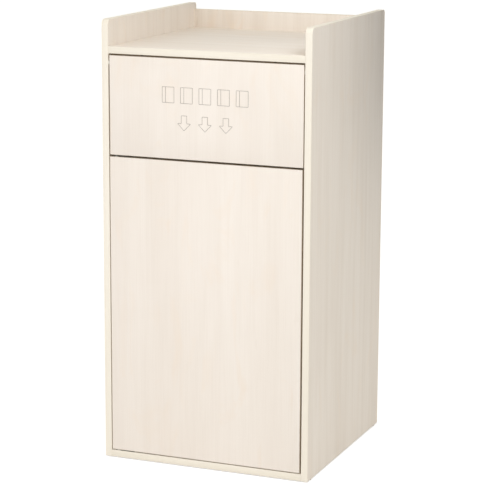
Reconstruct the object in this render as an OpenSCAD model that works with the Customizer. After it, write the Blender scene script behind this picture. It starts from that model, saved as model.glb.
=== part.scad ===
// Tray-top drop box cabinet: a free-standing laminate cabinet with a push-in
// flap, a tall service door and a loose bin inside.
// Origin: on the floor, at the centre of the footprint.
// +X to the right as seen from the front, +Y to the back, +Z up.

/* [Cabinet] */
// Width over the two side panels
body_w = 600; // [500:1:750]
// Depth from the front face to the back of the back panel
body_d = 593; // [500:1:750]
// Height of the side panels
side_h = 1216; // [1000:1:1450]
// Thickness of the side, tray and bottom boards
board_t = 19; // [16:0.5:25]
// Thickness of the back panel
back_t = 16; // [12:0.5:22]
// Depth of the tray recess below the side panels' top edges
tray_depth = 72; // [50:1:110]
// How far the back panel stops below the side panels
back_drop = 19; // [5:1:40]
// Radius of the side panels' front top corners
side_front_r = 16; // [4:0.5:30]
// Radius of the side panels' rear top corners
side_rear_r = 10; // [4:0.5:30]
// Thickness of the edge banding
band_t = 1; // [0.5:0.1:2]

/* [Flap] */
// Height of the push-in flap
flap_h = 270; // [220:1:340]
// Thickness of the flap and of the door
front_t = 19; // [16:0.5:25]
// Gap above the flap
flap_gap_top = 4; // [2:0.1:5]
// Gap at the left end of the flap
flap_gap_left = 3; // [2:0.1:5]
// Gap at the right end of the flap
flap_gap_right = 2; // [1.5:0.1:5]
// Clearance under the tray as the flap's upper edge swings past it
flap_swing_clear = 1.9; // [0.3:0.1:2.5]
// Diameter of the flap's pivot pins
flap_pin_d = 8; // [6:0.5:10]
// Length of a flap pin inside the flap
flap_pin_hold = 30; // [20:1:50]
// Depth of a flap bush in its side panel
flap_bush_l = 13; // [9:0.5:14]
// Wall of the flap bushes
flap_bush_wall = 2; // [1.5:0.1:3]
// Clearance between the level flap and the stop cleat over it
cleat_clear = 1.5; // [0.5:0.1:3]
// Depth of the stop cleat
cleat_d = 22; // [16:1:40]
// Thickness of the rubber bumpers between the cleat and the flap
bumper_t = 3; // [2:0.1:5]
// Diameter of the rubber bumpers
bumper_d = 9; // [6:0.5:10]

/* [Flap engraving] */
// Width of the engraved line
groove_w = 1.3; // [0.8:0.1:2.5]
// Depth of the engraved line
groove_depth = 0.9; // [0.4:0.1:2]
// Height of a book outline
book_h = 42; // [25:1:60]
// Width of a book outline
book_w = 34; // [20:1:45]
// Distance from one book outline to the next
book_pitch = 53; // [48:1:60]
// Distance from one arrow outline to the next
arrow_pitch = 60; // [48:1:80]
// Width of an arrow outline
arrow_w = 38; // [24:1:46]
// Height of an arrow outline
arrow_h = 40; // [25:1:60]
// Distance between the centres of the two rows
row_pitch = 74; // [65:1:90]

/* [Door] */
// Gap between the flap and the door
mid_gap = 4; // [3:0.1:6]
// Gap at the hinge side of the door
door_gap_left = 2; // [1.8:0.1:4]
// Gap at the opening side of the door
door_gap_right = 4; // [3:0.1:6]
// Gap below the door
door_gap_bottom = 2; // [1.5:0.1:4]
// Clearance between the side panel and the door's edge as it swings past
door_swing_clear = 0.3; // [0.2:0.1:0.8]
// Distance of the door's pivot behind its front face
door_pivot_back = 8; // [7.5:0.1:8.2]
// Diameter of the door's pivot pins
door_pin_d = 6; // [4:0.5:6.5]
// Length of a door pin inside the door
door_pin_reach = 12; // [8:0.5:20]
// Wall of the door bushes
door_bush_wall = 2; // [1.5:0.1:2.2]
// Width of the flange on the door bushes beyond their body
door_flange = 2; // [1:0.1:2.2]

/* [Pivot plates] */
// Thickness of the plate let into the bottom board
floor_plate_t = 2.5; // [2:0.1:4]
// Thickness of the plate on the catch rail
top_plate_t = 2; // [1.5:0.1:2.5]
// Length of the floor plate beyond the pivot
floor_plate_l = 48; // [40:1:70]
// Width of the floor plate
floor_plate_w = 13; // [11:0.5:13]
// Length of the top plate beyond the pivot
top_plate_l = 42; // [38:1:60]
// Radial clearance of every pin in its bush
pin_clear = 0.05; // [0.02:0.01:0.1]
// Running clearance under a bush flange
seat_clear = 0.1; // [0.05:0.05:0.5]

/* [Catch] */
// Height of the rail behind the top of the door
rail_h = 60; // [50:1:90]
// Clearance between the rail and the door's rear edge as it swings past
rail_clear = 1.5; // [1:0.1:8]
// Length of the magnetic catch over its two ears
catch_l = 46; // [40:1:60]
// Height of the magnetic catch
catch_h = 15; // [12:0.5:20]
// Length of one ear of the catch
catch_ear = 11; // [9:0.5:14]
// Thickness of the ears
catch_ear_t = 3; // [2.5:0.1:5]
// Thickness of the strike plate
strike_t = 1.2; // [0.8:0.1:2]
// Distance of the catch from the opening side of the door
catch_in = 62; // [45:1:120]
// Air gap between the catch and its strike plate
catch_gap = 0.3; // [0.1:0.1:1]

/* [Bin] */
// Clearance between the bin's rim and each side panel
bin_side_clear = 41; // [25:1:90]
// Clearance between the bin's rim and the catch rail
bin_front_clear = 9; // [4:1:40]
// Clearance between the bin's rim and the back panel
bin_rear_clear = 28.5; // [10:0.5:80]
// Clearance between the bin's rim and the level of the catch rail's underside
bin_top_clear = 39; // [15:1:150]
// Wall of the bin
bin_wall = 3; // [2:0.1:5]
// Taper of the bin on each side, from rim to foot
bin_taper = 24; // [10:1:40]
// Width of the rolled rim beyond the wall
rim_w = 12; // [6:0.5:20]
// Height of the rolled rim
rim_h = 18; // [10:0.5:30]
// Corner radius of the bin
bin_r = 40; // [20:1:60]
// Clearance between the bin's foot and its guides
guide_clear = 4; // [1:0.5:10]
// Height and width of the bin guides
guide_t = 20; // [15:0.5:30]
// How far each end of a guide stops short of the bin's foot
guide_short = 9; // [0:1:60]

/* [Fittings] */
// Diameter of the wooden dowels
dowel_d = 8; // [6:0.5:8]
// Length of the wooden dowels
dowel_l = 30; // [28:0.5:32]
// Depth of a dowel in the side panels
dowel_deep = 12; // [8:0.5:13]
// Clearance at each end of a dowel
dowel_end = 1; // [0.5:0.1:2]
// Diameter of the wood screws
screw_d = 3.5; // [3:0.1:4.5]
// Diameter of the screw heads
screw_head_d = 7; // [6:0.1:8]
// Diameter of the glides under the side panels
glide_d = 18; // [12:0.5:19]
// Height of the glides
glide_h = 3; // [2:0.5:8]
// Diameter of the glide nails
nail_d = 2.4; // [1.6:0.1:3]
// Length of a glide nail in the side panel
nail_l = 16; // [10:0.5:25]

/* [Hidden] */
$fn = 64;
over = 1;          // how far a cutting shape runs past the face it cuts

// Levels and faces of the cabinet
z_base = glide_h;
z_floor = z_base + board_t;
z_side_top = z_base + side_h;
z_tray_top = z_side_top - tray_depth;
z_tray_under = z_tray_top - board_t;
z_back_top = z_side_top - back_drop;
y_front = -body_d / 2;
y_rear = body_d / 2;
y_back_face = y_rear - back_t;
x_in = body_w / 2 - board_t;

// How far in from an edge a pivot sits, so that the board's corner, which is half_t
// from the axis across the board, swings past the next piece with the given clearance
function pivot_in(half_t, gap, clear) = (half_t * half_t - pow(gap - clear, 2)) / (2 * (gap - clear));

// Flap
flap_z1 = z_tray_under - flap_gap_top;
flap_z0 = flap_z1 - flap_h;
flap_x0 = -x_in + flap_gap_left;
flap_x1 = x_in - flap_gap_right;
flap_pivot_y = y_front + front_t / 2;
flap_pivot_down = pivot_in(front_t / 2, flap_gap_top, flap_swing_clear);
flap_pivot_z = flap_z1 - flap_pivot_down;
cleat_h = flap_gap_top + flap_pivot_down - front_t / 2 - cleat_clear;
flap_bush_d = flap_pin_d + 2 * (pin_clear + flap_bush_wall);
flap_flange = 2.5;         // width of a flange beyond the bush's body
flap_flange_d = flap_bush_d + 2 * flap_flange;
flap_end_play = 0.4;
flap_hole_spare = 1;
flap_pin_inset = 0.5;

// Door
door_z0 = z_floor + door_gap_bottom;
door_z1 = flap_z0 - mid_gap;
door_x0 = -x_in + door_gap_left;
door_x1 = x_in - door_gap_right;
door_pivot_in = pivot_in(door_pivot_back, door_gap_left, door_swing_clear);
door_pivot_x = door_x0 + door_pivot_in;
door_pivot_y = y_front + door_pivot_back;
door_rear = y_front + front_t;
door_bush_d = door_pin_d + 2 * (pin_clear + door_bush_wall);
bush_beyond = 2;           // bush beyond the end of its pin
door_bush_l = door_pin_reach + bush_beyond;
door_flange_d = door_bush_d + 2 * door_flange;
top_space = (mid_gap - top_plate_t) / 2;
top_flange_clear = 0.3;

// Rail and catch
rail_y0 = door_pivot_y + norm([door_pivot_in, front_t - door_pivot_back]) + rail_clear;
rail_y1 = rail_y0 + board_t;
rail_top = door_z1 + top_space;
catch_x = door_x1 - catch_in;
catch_down = 6;            // catch below the top of the door
catch_z = door_z1 - catch_down - catch_h / 2;
catch_face = door_rear + strike_t + catch_gap;
catch_block = catch_l - 2 * catch_ear;
pocket_wall = 2;
pole_t = 1.2;
strike_over = 2;
strike_screw_step = 6;     // strike screws to each side of the catch's middle
magnet_in = 0.4;           // magnet behind the tips of the pole plates

// Bin
bin_w = 2 * (x_in - bin_side_clear);
bin_d = y_back_face - rail_y1 - bin_front_clear - bin_rear_clear;
bin_y = rail_y1 + bin_front_clear + bin_d / 2;
bin_z1 = rail_top - rail_h - bin_top_clear;
foot_w = bin_w - 2 * (rim_w + bin_taper);
foot_d = bin_d - 2 * (rim_w + bin_taper);
guide_x = foot_w / 2 + guide_clear + guide_t / 2;
guide_l = foot_d - 2 * guide_short;

// Engraved figures, as shares of their own width or height
book_spine = 0.28;
arrow_stem = 0.21;         // half the stem
arrow_neck = 0.48;         // height of the head
book_count = 5;
arrow_count = 3;
book_run = (book_count - 1) * book_pitch;
arrow_run = (arrow_count - 1) * arrow_pitch;

// Rows of fittings: each inset is from the edge of the piece to the first one
dowel_edge = 60;           // first dowel from the edge of its board
dowel_ys = spread(4, y_front + dowel_edge, y_back_face - dowel_edge);
back_dowel_edge = 90;
back_dowel_zs = spread(5, z_base + back_dowel_edge, z_back_top - back_dowel_edge);
rail_dowel_high = 18;      // upper dowel below the rail's top
rail_dowel_low = 16;       // lower dowel above its underside
rail_dowel_zs = [rail_top - rail_dowel_high, rail_top - rail_h + rail_dowel_low];
back_screw_edge = 60;
back_screw_xs = spread(4, -x_in + back_screw_edge, x_in - back_screw_edge);
back_screw_hold = 28;      // screw beyond the back panel
back_screw_l = back_t + back_screw_hold;
cleat_y0 = door_rear + bumper_t;
cleat_screw_edge = 50;
cleat_screw_xs = spread(4, -x_in + cleat_screw_edge, x_in - cleat_screw_edge);
screw_short = 5;           // board left beyond the point of a screw
cleat_screw_l = cleat_h + board_t - screw_short;
bumper_edge = 90;
bumper_xs = [-x_in + bumper_edge, x_in - bumper_edge];
bumper_z = z_tray_under - cleat_h / 2;
guide_screw_edge = 40;
guide_ys = spread(3, bin_y - guide_l / 2 + guide_screw_edge, bin_y + guide_l / 2 - guide_screw_edge);
guide_screw_l = guide_t + board_t - screw_short;
plate_screw_end = 8;       // last screw from the end of its plate
floor_screw_in = 16;       // first screw from the pivot
top_screw_in = 14;
thin_short = 4;            // board left beyond the point of a short screw
floor_screw_xs = [door_pivot_x + floor_screw_in, door_pivot_x + floor_plate_l - plate_screw_end];
floor_screw_l = board_t - thin_short;
top_screw_xs = [door_pivot_x + top_screw_in, door_pivot_x + top_plate_l - plate_screw_end];
top_screw_l = 26;
plate_back = 8;            // pivot plates beyond the pivot, towards the side panel
plate_front = 4.5;         // top plate beyond the pivot, towards the front
catch_screw_xs = [catch_x - catch_l / 2 + catch_ear / 2, catch_x + catch_l / 2 - catch_ear / 2];
catch_screw_l = catch_ear_t + board_t - thin_short;
strike_l = catch_block + 2 * strike_over;
strike_short = 6;          // door left beyond the point of a strike screw
strike_screw_l = strike_t + front_t - strike_short;
glide_edge = 30;
glide_ys = [y_front + glide_edge, y_rear - glide_edge];
glide_x = body_w / 2 - board_t / 2;

function spread(n, from, to) = [for (i = [0:n - 1]) from + i * (to - from) / (n - 1)];

// Colours
laminate = [0.93, 0.88, 0.80];
banding = [0.94, 0.90, 0.80];
beech = [0.80, 0.66, 0.47];
steel = [0.72, 0.73, 0.75];
black_steel = [0.17, 0.17, 0.17];
nylon = [0.93, 0.92, 0.88];
rubber = [0.12, 0.12, 0.12];
bin_grey = [0.30, 0.31, 0.33];

// ---- Shared shapes ----

// What is cut off a corner at the origin, with the board towards +x and +y
module corner_off(r) {
  difference() {
    translate([-r, -r]) square(2 * r);
    translate([r, r]) circle(r);
  }
}

// Side panel seen from its side, with the given thickness taken off its visible edges
module side_outline(inset) {
  front = y_front + inset;
  rear = y_rear - inset;
  top = z_side_top - inset;
  difference() {
    translate([front, z_base]) square([rear - front, top - z_base]);
    translate([front, top]) mirror([0, 1]) corner_off(side_front_r - inset);
    translate([rear, top]) rotate(180) corner_off(side_rear_r - inset);
  }
}

// An outline drawn in Y and Z, made into a board that starts at x
module side_board(x, thick) {
  translate([x, 0, 0]) rotate([90, 0, 90]) linear_extrude(thick) children();
}

// A box from its lowest to its highest corner
module block(low, high) {
  translate(low) cube(high - low);
}

// A round rod along X, from x0 to x1
module rod_x(x0, x1, y, z, d) {
  translate([x0, y, z]) rotate([0, 90, 0]) cylinder(d = d, h = x1 - x0);
}

// A round rod along Z, from z0 to z1
module rod_z(x, y, z0, z1, d) {
  translate([x, y, z0]) cylinder(d = d, h = z1 - z0);
}

// A countersunk wood screw: head face at the origin, point towards -Z
module screw(length) {
  head_h = (screw_head_d - screw_d) / 2;
  tip = screw_d;
  translate([0, 0, -head_h]) cylinder(d1 = screw_d, d2 = screw_head_d, h = head_h);
  translate([0, 0, -length + tip]) cylinder(d = screw_d, h = length - tip - head_h);
  translate([0, 0, -length]) cylinder(d1 = 0.6, d2 = screw_d, h = tip);
}

// A rectangle with round corners, centred on the origin
module round_rect(w, d, r) {
  square([w - 2 * r, d], center = true);
  square([w, d - 2 * r], center = true);
  for (x = [-1, 1], y = [-1, 1]) translate([x * (w / 2 - r), y * (d / 2 - r)]) circle(r);
}

// ---- Dowels and their holes ----

// One dowel across the joint at x = side * x_in; spare lengthens it into its hole
module side_dowel(side, y, z, spare) {
  low = x_in + dowel_deep - dowel_l - spare;
  high = x_in + dowel_deep + spare;
  if (side > 0) rod_x(low, high, y, z, dowel_d);
  else rod_x(-high, -low, y, z, dowel_d);
}

module tray_dowels(side, spare) {
  for (y = dowel_ys) side_dowel(side, y, z_tray_under + board_t / 2, spare);
}

module bottom_dowels(side, spare) {
  for (y = dowel_ys) side_dowel(side, y, z_base + board_t / 2, spare);
}

module rail_dowels(side, spare) {
  for (z = rail_dowel_zs) side_dowel(side, (rail_y0 + rail_y1) / 2, z, spare);
}

module back_side_dowels(side, spare) {
  for (z = back_dowel_zs) side_dowel(side, y_rear - back_t / 2, z, spare);
}

// ---- Screws in place; each module is both the screws and their holes ----

module back_screw_set() {
  for (x = back_screw_xs, z = [z_base + board_t / 2, z_tray_under + board_t / 2])
    translate([x, y_rear, z]) rotate([-90, 0, 0]) screw(back_screw_l);
}

module cleat_screw_set() {
  for (x = cleat_screw_xs)
    translate([x, cleat_y0 + cleat_d / 2, z_tray_under - cleat_h]) mirror([0, 0, 1]) screw(cleat_screw_l);
}

module guide_screw_set() {
  for (x = [-guide_x, guide_x], y = guide_ys)
    translate([x, y, z_floor + guide_t]) screw(guide_screw_l);
}

module floor_plate_screw_set() {
  for (x = floor_screw_xs) translate([x, door_pivot_y, z_floor]) screw(floor_screw_l);
}

module top_plate_screw_set() {
  for (x = top_screw_xs)
    translate([x, (rail_y0 + rail_y1) / 2, rail_top + top_plate_t]) screw(top_screw_l);
}

module catch_screw_set() {
  for (x = catch_screw_xs)
    translate([x, rail_y0 - catch_ear_t, catch_z]) rotate([90, 0, 0]) screw(catch_screw_l);
}

module strike_screw_set() {
  for (x = [catch_x - strike_screw_step, catch_x + strike_screw_step])
    translate([x, door_rear + strike_t, catch_z]) rotate([-90, 0, 0]) screw(strike_screw_l);
}

module nail_set(d, spare) {
  for (x = [-glide_x, glide_x], y = glide_ys) rod_z(x, y, glide_h / 2, z_base + nail_l + spare, d);
}

// ---- Carcass ----

module side_panel(side) {
  x0 = side > 0 ? x_in : -x_in - board_t;
  color(laminate) difference() {
    side_board(x0, board_t) side_outline(band_t);
    tray_dowels(side, dowel_end);
    bottom_dowels(side, dowel_end);
    rail_dowels(side, dowel_end);
    back_side_dowels(side, dowel_end);
    flap_bush_body(side, over);
    nail_set(nail_d, 0);
  }
}

module left_side_panel() {
  side_panel(-1);
}

module right_side_panel() {
  side_panel(1);
}

module back_panel() {
  color(laminate) difference() {
    block([-x_in, y_back_face, z_base], [x_in, y_rear, z_back_top - band_t]);
    back_side_dowels(-1, dowel_end);
    back_side_dowels(1, dowel_end);
    back_screw_set();
  }
}

module tray_board() {
  color(laminate) difference() {
    block([-x_in, y_front + band_t, z_tray_under], [x_in, y_back_face, z_tray_top]);
    tray_dowels(-1, dowel_end);
    tray_dowels(1, dowel_end);
    back_screw_set();
    cleat_screw_set();
  }
}

module bottom_board() {
  color(laminate) difference() {
    block([-x_in, y_front + band_t, z_base], [x_in, y_back_face, z_floor]);
    bottom_dowels(-1, dowel_end);
    bottom_dowels(1, dowel_end);
    back_screw_set();
    guide_screw_set();
    floor_plate_body(over);
    floor_plate_screw_set();
  }
}

module catch_rail() {
  color(laminate) difference() {
    block([-x_in, rail_y0, rail_top - rail_h], [x_in, rail_y1, rail_top]);
    rail_dowels(-1, dowel_end);
    rail_dowels(1, dowel_end);
    top_plate_screw_set();
    catch_screw_set();
  }
}

// ---- Edge banding ----

module side_band(side) {
  x0 = side > 0 ? x_in : -x_in - board_t;
  color(banding) side_board(x0, board_t) difference() {
    side_outline(0);
    side_outline(band_t);
  }
}

module left_edge_band() {
  side_band(-1);
}

module right_edge_band() {
  side_band(1);
}

module back_edge_band() {
  color(banding) block([-x_in, y_back_face, z_back_top - band_t], [x_in, y_rear, z_back_top]);
}

module tray_edge_band() {
  color(banding) block([-x_in, y_front, z_tray_under], [x_in, y_front + band_t, z_tray_top]);
}

module bottom_edge_band() {
  color(banding) block([-x_in, y_front, z_base], [x_in, y_front + band_t, z_floor]);
}

// The band round a front board: four strips in one ring
module front_band(x0, x1, z0, z1) {
  difference() {
    block([x0, y_front, z0], [x1, door_rear, z1]);
    block([x0 + band_t, y_front - over, z0 + band_t], [x1 - band_t, door_rear + over, z1 - band_t]);
  }
}

// ---- Joinery and carcass screws ----

module carcass_dowels() {
  color(beech) for (side = [-1, 1]) {
    tray_dowels(side, 0);
    bottom_dowels(side, 0);
    rail_dowels(side, 0);
  }
}

module back_dowels() {
  color(beech) for (side = [-1, 1]) back_side_dowels(side, 0);
}

module back_screws() {
  color(steel) back_screw_set();
}

// ---- Flap: stop, bushes, board and pins ----

module flap_stop_cleat() {
  color(beech) difference() {
    block([-x_in, cleat_y0, z_tray_under - cleat_h], [x_in, cleat_y0 + cleat_d, z_tray_under]);
    cleat_screw_set();
  }
}

module cleat_screws() {
  color(steel) cleat_screw_set();
}

module flap_bumpers() {
  color(rubber) for (x = bumper_xs)
    translate([x, cleat_y0, bumper_z]) rotate([90, 0, 0]) cylinder(d = bumper_d, h = bumper_t);
}

// The part of a flap bush that sits in its side panel
module flap_bush_body(side, spare) {
  if (side > 0) rod_x(x_in - spare, x_in + flap_bush_l, flap_pivot_y, flap_pivot_z, flap_bush_d);
  else rod_x(-x_in - flap_bush_l, -x_in + spare, flap_pivot_y, flap_pivot_z, flap_bush_d);
}

module flap_bore(spare) {
  bore_d = flap_pin_d + 2 * pin_clear;
  rod_x(-x_in - flap_bush_l - spare, x_in + flap_bush_l + spare, flap_pivot_y, flap_pivot_z, bore_d);
}

module flap_bushes() {
  left_flange = flap_gap_left - flap_end_play;
  right_flange = flap_gap_right - flap_end_play;
  color(nylon) difference() {
    union() {
      flap_bush_body(-1, 0);
      flap_bush_body(1, 0);
      rod_x(-x_in, -x_in + left_flange, flap_pivot_y, flap_pivot_z, flap_flange_d);
      rod_x(x_in - right_flange, x_in, flap_pivot_y, flap_pivot_z, flap_flange_d);
    }
    flap_bore(over);
  }
}

// Holes for the pins in the flap's two ends
module flap_pin_holes() {
  hole = flap_pin_hold + flap_hole_spare;
  rod_x(flap_x0 - over, flap_x0 + hole, flap_pivot_y, flap_pivot_z, flap_pin_d);
  rod_x(flap_x1 - hole, flap_x1 + over, flap_pivot_y, flap_pivot_z, flap_pin_d);
}

module flap() {
  color(laminate) difference() {
    block([flap_x0 + band_t, y_front, flap_z0 + band_t], [flap_x1 - band_t, door_rear, flap_z1 - band_t]);
    flap_pin_holes();
    engraving();
  }
}

module flap_edge_band() {
  color(banding) difference() {
    front_band(flap_x0, flap_x1, flap_z0, flap_z1);
    flap_pin_holes();
  }
}

module flap_pivot_pins() {
  reach = x_in + flap_bush_l - flap_pin_inset;
  color(steel) {
    rod_x(-reach, flap_x0 + flap_pin_hold, flap_pivot_y, flap_pivot_z, flap_pin_d);
    rod_x(flap_x1 - flap_pin_hold, reach, flap_pivot_y, flap_pivot_z, flap_pin_d);
  }
}

// ---- Engraving on the flap: a row of books above a row of arrows ----

// Unit vector square to an edge, pointing out of an outline that runs anticlockwise
function edge_out(p, q) = [q[1] - p[1], p[0] - q[0]] / norm(q - p);

// The outline moved outwards by d, with mitred corners
function grow(pts, d) = [
  for (i = [0:len(pts) - 1])
    let (
      n = len(pts),
      before = edge_out(pts[(i + n - 1) % n], pts[i]),
      after = edge_out(pts[i], pts[(i + 1) % n])
    )
    pts[i] + d * (before + after) / (1 + before * after)
];

module outline_groove(pts) {
  difference() {
    polygon(grow(pts, groove_w / 2));
    polygon(grow(pts, -groove_w / 2));
  }
}

// A closed book standing upright, with the line between its spine and its cover
module book_outline() {
  spine = book_w * book_spine;
  outline_groove([[0, 0], [book_w, 0], [book_w, book_h], [0, book_h]]);
  translate([spine - groove_w / 2, 0]) square([groove_w, book_h]);
}

// A block arrow pointing down
module arrow_outline() {
  mid = arrow_w / 2;
  stem = arrow_w * arrow_stem;
  neck = arrow_h * arrow_neck;
  outline_groove([
    [mid, 0], [arrow_w, neck], [mid + stem, neck], [mid + stem, arrow_h],
    [mid - stem, arrow_h], [mid - stem, neck], [0, neck]
  ]);
}

module engraving() {
  mid_x = (flap_x0 + flap_x1) / 2;
  mid_z = (flap_z0 + flap_z1) / 2;
  translate([0, y_front + groove_depth, 0]) rotate([90, 0, 0]) linear_extrude(groove_depth + over) {
    for (x = spread(book_count, mid_x - book_run / 2, mid_x + book_run / 2))
      translate([x - book_w / 2, mid_z + row_pitch / 2 - book_h / 2]) book_outline();
    for (x = spread(arrow_count, mid_x - arrow_run / 2, mid_x + arrow_run / 2))
      translate([x - arrow_w / 2, mid_z - row_pitch / 2 - arrow_h / 2]) arrow_outline();
  }
}

// ---- Door ----

module door_bush_holes() {
  rod_z(door_pivot_x, door_pivot_y, door_z0 - over, door_z0 + door_bush_l, door_bush_d);
  rod_z(door_pivot_x, door_pivot_y, door_z1 - door_bush_l, door_z1 + over, door_bush_d);
}

module door() {
  color(laminate) difference() {
    block([door_x0 + band_t, y_front, door_z0 + band_t], [door_x1 - band_t, door_rear, door_z1 - band_t]);
    door_bush_holes();
    strike_screw_set();
  }
}

module door_edge_band() {
  color(banding) difference() {
    front_band(door_x0, door_x1, door_z0, door_z1);
    door_bush_holes();
  }
}

module door_bushes() {
  bore_d = door_pin_d + 2 * pin_clear;
  low_flange = door_gap_bottom - seat_clear;
  top_flange = top_space - top_flange_clear;
  color(nylon) difference() {
    union() {
      rod_z(door_pivot_x, door_pivot_y, door_z0, door_z0 + door_bush_l, door_bush_d);
      rod_z(door_pivot_x, door_pivot_y, door_z0 - low_flange, door_z0, door_flange_d);
      rod_z(door_pivot_x, door_pivot_y, door_z1 - door_bush_l, door_z1, door_bush_d);
      rod_z(door_pivot_x, door_pivot_y, door_z1, door_z1 + top_flange, door_flange_d);
    }
    rod_z(door_pivot_x, door_pivot_y, door_z0 - low_flange - over, door_z1 + top_flange + over, bore_d);
  }
}

module strike_plate() {
  color(steel) difference() {
    block([catch_x - strike_l / 2, door_rear, catch_z - catch_h / 2],
          [catch_x + strike_l / 2, door_rear + strike_t, catch_z + catch_h / 2]);
    strike_screw_set();
  }
}

module strike_screws() {
  color(steel) strike_screw_set();
}

// ---- Door pivots ----

module floor_plate_body(spare) {
  block([door_pivot_x - plate_back, door_pivot_y - floor_plate_w / 2, z_floor - floor_plate_t],
        [door_pivot_x + floor_plate_l, door_pivot_y + floor_plate_w / 2, z_floor + spare]);
}

module pin_hole() {
  rod_z(door_pivot_x, door_pivot_y, z_base, z_tray_under, door_pin_d);
}

module floor_pivot_plate() {
  color(black_steel) difference() {
    floor_plate_body(0);
    floor_plate_screw_set();
    pin_hole();
  }
}

module top_pivot_plate() {
  color(black_steel) difference() {
    block([door_pivot_x - plate_back, door_pivot_y - plate_front, rail_top],
          [door_pivot_x + top_plate_l, rail_y1, rail_top + top_plate_t]);
    top_plate_screw_set();
    pin_hole();
  }
}

module door_pivot_pins() {
  color(black_steel) {
    rod_z(door_pivot_x, door_pivot_y, z_floor - floor_plate_t, door_z0 + door_pin_reach, door_pin_d);
    rod_z(door_pivot_x, door_pivot_y, door_z1 - door_pin_reach, rail_top + top_plate_t, door_pin_d);
  }
}

module pivot_plate_screws() {
  color(black_steel) {
    floor_plate_screw_set();
    top_plate_screw_set();
  }
}

// ---- Magnetic catch ----

module catch_pocket() {
  reach = catch_block / 2 - pocket_wall;
  rise = catch_h / 2 - pocket_wall;
  block([catch_x - reach, catch_face, catch_z - rise],
        [catch_x + reach, rail_y0 - pocket_wall, catch_z + rise]);
}

module catch_housing() {
  color(nylon) difference() {
    union() {
      block([catch_x - catch_block / 2, catch_face, catch_z - catch_h / 2],
            [catch_x + catch_block / 2, rail_y0, catch_z + catch_h / 2]);
      block([catch_x - catch_l / 2, rail_y0 - catch_ear_t, catch_z - catch_h / 2],
            [catch_x + catch_l / 2, rail_y0, catch_z + catch_h / 2]);
    }
    translate([0, -over, 0]) catch_pocket();
    catch_pocket();
    catch_screw_set();
  }
}

module pole_pair() {
  x0 = catch_x - catch_block / 2 + pocket_wall;
  x1 = catch_x + catch_block / 2 - pocket_wall;
  low = catch_z - catch_h / 2 + pocket_wall;
  high = catch_z + catch_h / 2 - pocket_wall;
  block([x0, catch_face, low], [x1, rail_y0 - pocket_wall, low + pole_t]);
  block([x0, catch_face, high - pole_t], [x1, rail_y0 - pocket_wall, high]);
}

module catch_magnet() {
  color(rubber) difference() {
    catch_pocket();
    translate([0, -over, 0]) pole_pair();
    pole_pair();
    block([catch_x - catch_block, catch_face - over, catch_z - catch_h],
          [catch_x + catch_block, catch_face + magnet_in, catch_z + catch_h]);
  }
}

module catch_pole_plates() {
  color(steel) pole_pair();
}

module catch_screws() {
  color(steel) catch_screw_set();
}

// ---- Bin and its guides ----

// Four upright corner posts of the bin, joined by a hull into its tapered body from z0 to z1
module bin_shell(inset, z0, z1) {
  foot = [foot_w / 2 - bin_r, foot_d / 2 - bin_r];
  head = [bin_w / 2 - rim_w - bin_r, bin_d / 2 - rim_w - bin_r];
  slab = 0.1;
  r = bin_r - inset;
  translate([0, bin_y, 0]) hull() for (x = [-1, 1], y = [-1, 1]) {
    translate([x * foot[0], y * foot[1], z0]) cylinder(r = r, h = slab, $fn = 32);
    translate([x * head[0], y * head[1], z1 - slab]) cylinder(r = r, h = slab, $fn = 32);
  }
}

module bin() {
  color(bin_grey) difference() {
    union() {
      bin_shell(0, z_floor, bin_z1);
      translate([0, bin_y, bin_z1 - rim_h]) linear_extrude(rim_h) round_rect(bin_w, bin_d, bin_r + rim_w);
    }
    bin_shell(bin_wall, z_floor + bin_wall, bin_z1 + over);
  }
}

module bin_guides() {
  color(beech) difference() {
    for (x = [-guide_x, guide_x])
      block([x - guide_t / 2, bin_y - guide_l / 2, z_floor],
            [x + guide_t / 2, bin_y + guide_l / 2, z_floor + guide_t]);
    guide_screw_set();
  }
}

module guide_screws() {
  color(steel) guide_screw_set();
}

// ---- Glides ----

module floor_glides() {
  color(nylon) difference() {
    for (x = [-glide_x, glide_x], y = glide_ys) rod_z(x, y, 0, glide_h, glide_d);
    nail_set(nail_d, 0);
  }
}

module glide_nails() {
  color(steel) nail_set(nail_d, 0);
}

left_side_panel();
right_side_panel();
back_panel();
tray_board();
bottom_board();
catch_rail();
left_edge_band();
right_edge_band();
back_edge_band();
tray_edge_band();
bottom_edge_band();
carcass_dowels();
back_dowels();
back_screws();
flap_stop_cleat();
cleat_screws();
flap_bumpers();
flap_bushes();
flap();
flap_edge_band();
flap_pivot_pins();
door();
door_edge_band();
door_bushes();
strike_plate();
strike_screws();
floor_pivot_plate();
top_pivot_plate();
door_pivot_pins();
pivot_plate_screws();
catch_housing();
catch_magnet();
catch_pole_plates();
catch_screws();
bin();
bin_guides();
guide_screws();
floor_glides();
glide_nails();
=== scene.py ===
import math

import bmesh
import bpy
from mathutils import Matrix, Vector


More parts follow.
